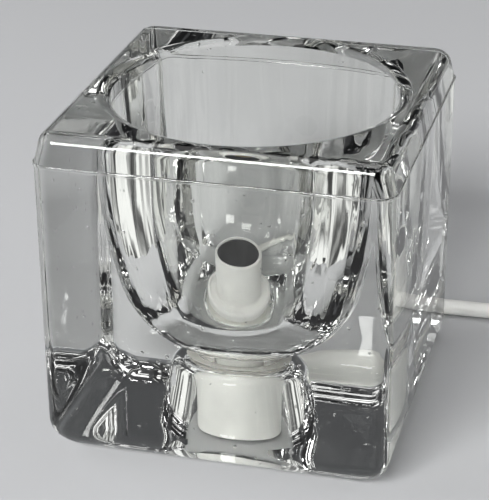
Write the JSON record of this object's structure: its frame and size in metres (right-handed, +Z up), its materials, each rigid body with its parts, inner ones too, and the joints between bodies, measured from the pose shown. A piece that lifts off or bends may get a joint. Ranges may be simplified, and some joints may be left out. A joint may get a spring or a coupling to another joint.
{
  "type": "table lamp",
  "caption": "Table lamp in a thick clear glass cube with a round bowl in its top, a white lamp holder in the bowl and a white lead with a rocker switch and a plug.",
  "frame": {"origin": "middle of the glass base, on the table", "axes": "+Z up along the lamp holder, +Y towards the back, where the lead leaves, +X to the right"},
  "size_m": [0.312, 0.1749, 0.1375],
  "materials": {
    "clear_glass": "thick clear pressed glass, polished, with a mould seam",
    "white_plastic": "white, slightly glossy",
    "dark_plastic": "black bakelite",
    "white_cord": "smooth white PVC sheath",
    "core_wire": "insulated wire",
    "white_rubber": "soft white, matt",
    "tie": "white strap",
    "brass": "plain brass, a little dull",
    "nickel": "nickel-plated",
    "steel": "zinc-plated"
  },
  "bodies": {
    "lamp": {"glass_cube": "clear_glass", "holder_sleeve": "white_plastic", "clamp_ring": "white_plastic", "base_cup": "white_plastic", "base_plate": "white_plastic", "cord_grip": "white_plastic", "switch_base": "white_plastic", "switch_cover": "white_plastic", "plug_body": "white_plastic", "plug_boot": "white_plastic", "holder_core": "dark_plastic", "pin_sleeve_1": "dark_plastic", "pin_sleeve_2": "dark_plastic", "cord_sheath": "white_cord", "cord_lead": "white_cord", "cord_tail": "white_cord", "cord_coil": "white_cord", "plug_lead": "white_cord", "core_wire_1": "core_wire", "core_wire_2": "core_wire", "cord_bush": "white_rubber", "upper_washer": "white_rubber", "lower_washer": "white_rubber", "coil_tie": "tie", "screw_shell": "brass", "centre_contact": "brass", "terminal_block_1": "brass", "terminal_block_2": "brass", "switch_contact_1": "brass", "switch_contact_2": "brass", "plug_pin_1": "nickel", "plug_pin_2": "nickel", "terminal_screw_1": "steel", "terminal_screw_2": "steel", "plate_screw_1": "steel", "plate_screw_2": "steel", "grip_screw_1": "steel", "grip_screw_2": "steel", "switch_screw_1": "steel", "switch_screw_2": "steel", "rocker_pin": "steel"},
    "rocker": {"switch_rocker": "white_plastic", "rocker_contact": "brass"}
  },
  "joints": [
    {"name": "rocker_tilt", "type": "hinge", "parent": "lamp", "child": "rocker", "pos_m": [0.144, 0.0914, 0.0155], "axis": [0, 1, 0], "range_deg": [0, 20]}
  ]
}
